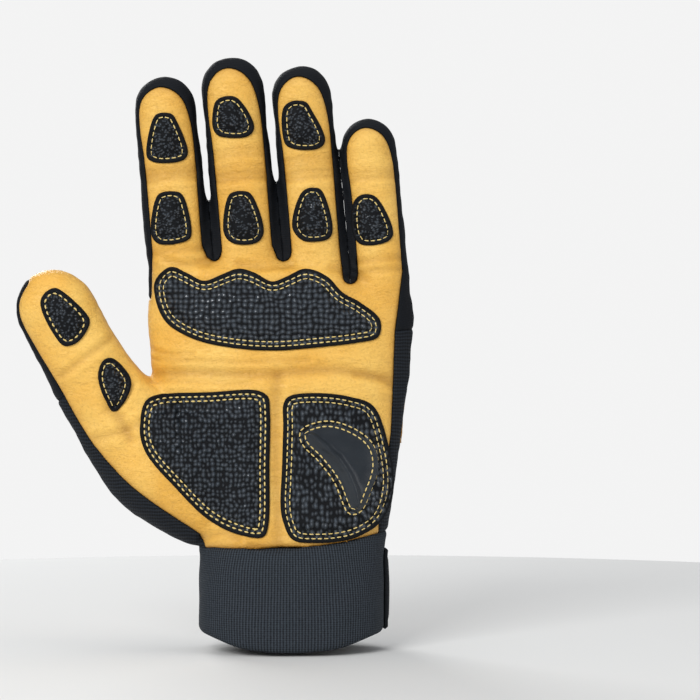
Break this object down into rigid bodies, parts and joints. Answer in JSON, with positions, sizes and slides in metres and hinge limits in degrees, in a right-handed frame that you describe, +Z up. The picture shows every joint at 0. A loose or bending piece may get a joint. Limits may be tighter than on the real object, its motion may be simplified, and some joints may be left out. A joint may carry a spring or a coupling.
{
  "type": "mechanic glove",
  "caption": "Left-hand work glove: leather palm, knuckle band and fingertips, stretch back, stitched palm and finger pads, knit cuff with a closure strap.",
  "frame": {"origin": "middle of the wrist opening, at the lowest point of the cuff's hem", "axes": "+Z up the fingers, -Y out of the palm, -X towards the thumb"},
  "size_m": [0.1626, 0.0589, 0.2427],
  "materials": {
    "palm_leather": "matt grain leather, golden yellow",
    "back_leather": "matt grain leather, ochre, cut edges left raw",
    "ribbed_stretch": "stretch fabric with fine crosswise ribs",
    "smooth_stretch": "smooth stretch fabric",
    "cuff_knit": "elastic knit with fine lengthwise ribs",
    "strap_fabric": "brushed loop fabric",
    "moulded_rubber": "smooth moulded rubber, satin",
    "pebbled_pad": "pebbled synthetic leather over foam"
  },
  "bodies": {
    "root": {"palm_leather": "palm_leather", "thumb_back": "back_leather", "knuckle_yoke": "back_leather", "index_cap": "back_leather", "middle_cap": "back_leather", "ring_cap": "back_leather", "index_back": "ribbed_stretch", "middle_back": "ribbed_stretch", "ring_back": "ribbed_stretch", "little_back": "ribbed_stretch", "hand_back": "ribbed_stretch", "index_side": "smooth_stretch", "middle_side": "smooth_stretch", "ring_side": "smooth_stretch", "little_side": "smooth_stretch", "thumb_side": "smooth_stretch", "cuff": "cuff_knit", "closure_strap": "strap_fabric", "strap_plate": "moulded_rubber", "heel_insert": "moulded_rubber", "knuckle_pad": "pebbled_pad", "thenar_pad": "pebbled_pad", "hypothenar_pad": "pebbled_pad", "index_tip_pad": "pebbled_pad", "index_base_pad": "pebbled_pad", "middle_tip_pad": "pebbled_pad", "middle_base_pad": "pebbled_pad", "ring_tip_pad": "pebbled_pad", "ring_base_pad": "pebbled_pad", "little_base_pad": "pebbled_pad", "thumb_tip_pad": "pebbled_pad", "thumb_base_pad": "pebbled_pad"}
  },
  "joints": []
}
